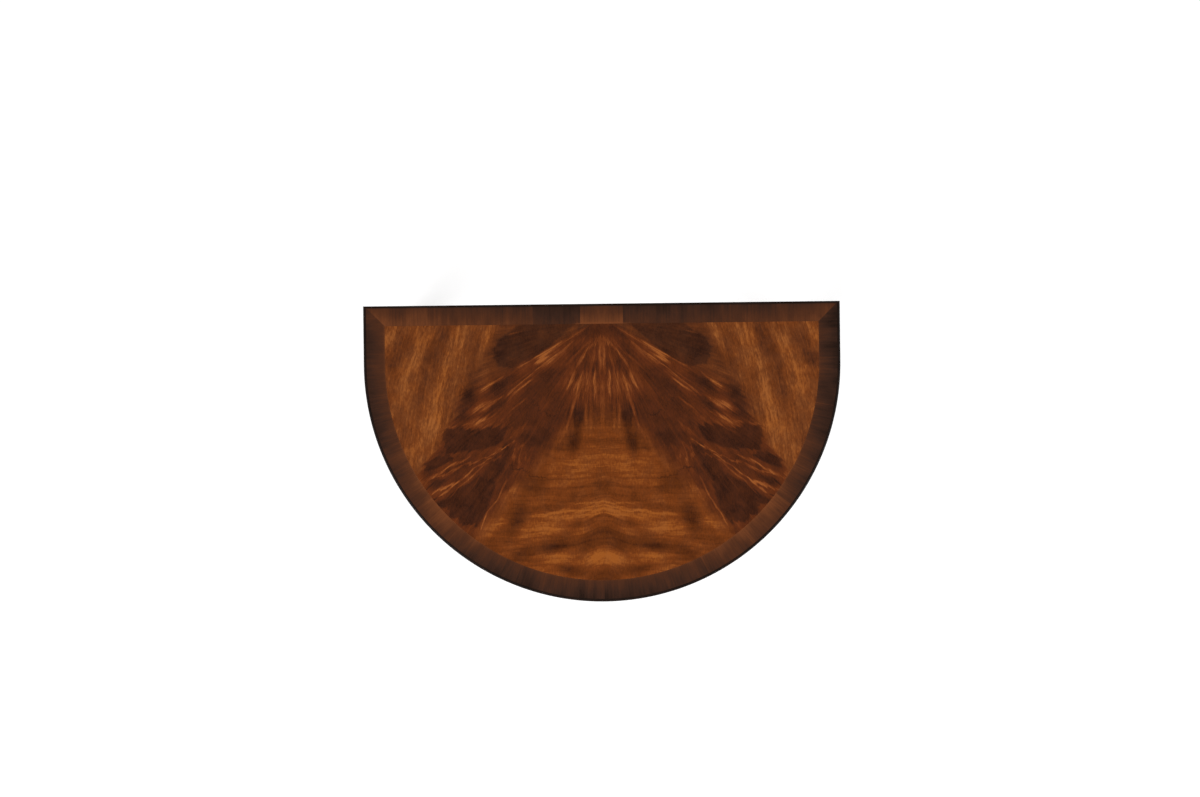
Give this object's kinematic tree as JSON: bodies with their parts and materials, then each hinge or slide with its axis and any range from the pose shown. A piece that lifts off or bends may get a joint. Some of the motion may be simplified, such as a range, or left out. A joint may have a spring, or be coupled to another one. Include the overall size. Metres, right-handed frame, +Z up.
{
  "type": "demilune table",
  "caption": "Half-round side table: D-shaped top of book-matched crotch veneer with crossbanded border, bow apron and square tapered legs with spade feet.",
  "frame": {"origin": "on the floor, under the middle of the top's bounding box", "axes": "+X to the right along the back edge, +Y to the wall, +Z up"},
  "size_m": [0.8128, 0.508, 0.762],
  "materials": {
    "figured_veneer": "crotch mahogany veneer, polished",
    "crossband": "dark mahogany crossbanding, polished",
    "lipping": "dark stained mahogany, polished",
    "core_board": "plain board, bare",
    "backing_veneer": "plain veneer, sealed",
    "apron_brick": "softwood bricks, bare",
    "rail": "secondary hardwood, bare",
    "frieze_veneer": "figured mahogany veneer, polished",
    "bead": "dark mahogany, polished",
    "leg": "solid mahogany, polished",
    "block": "softwood, bare",
    "screw": "zinc plated",
    "glide_pad": "moulded nylon",
    "glide_nail": "plain steel"
  },
  "bodies": {
    "root": {"apron_bead_front": "bead", "apron_bead_left": "bead", "apron_bead_right": "bead", "apron_course_1": "apron_brick", "apron_course_2": "apron_brick", "apron_course_3": "apron_brick", "apron_course_4": "apron_brick", "back_band_centre": "crossband", "back_band_inner_left": "crossband", "back_band_inner_right": "crossband", "back_band_outer_left": "crossband", "back_band_outer_right": "crossband", "back_leg_left": "leg", "back_leg_right": "leg", "back_rail": "rail", "backing_veneer": "backing_veneer", "bow_band_left_1": "crossband", "bow_band_left_2": "crossband", "bow_band_left_3": "crossband", "bow_band_right_1": "crossband", "bow_band_right_2": "crossband", "bow_band_right_3": "crossband", "corner_block_left": "block", "corner_block_right": "block", "edge_lipping_back": "lipping", "edge_lipping_left": "lipping", "edge_lipping_right": "lipping", "frieze_veneer_front": "frieze_veneer", "frieze_veneer_left": "frieze_veneer", "frieze_veneer_right": "frieze_veneer", "front_leg_left": "leg", "front_leg_right": "leg", "glide_nails": "glide_nail", "glide_pads": "glide_pad", "leg_block_front_left": "block", "leg_block_front_right": "block", "leg_block_side_left": "block", "leg_block_side_right": "block", "medial_rail": "rail", "screw_block_front_left": "block", "screw_block_front_right": "block", "screw_block_rail_left": "block", "screw_block_rail_right": "block", "screw_block_side_left": "block", "screw_block_side_right": "block", "side_band_left": "crossband", "side_band_right": "crossband", "top_core": "core_board", "top_screws": "screw", "veneer_leaf_left": "figured_veneer", "veneer_leaf_right": "figured_veneer"}
  },
  "joints": []
}
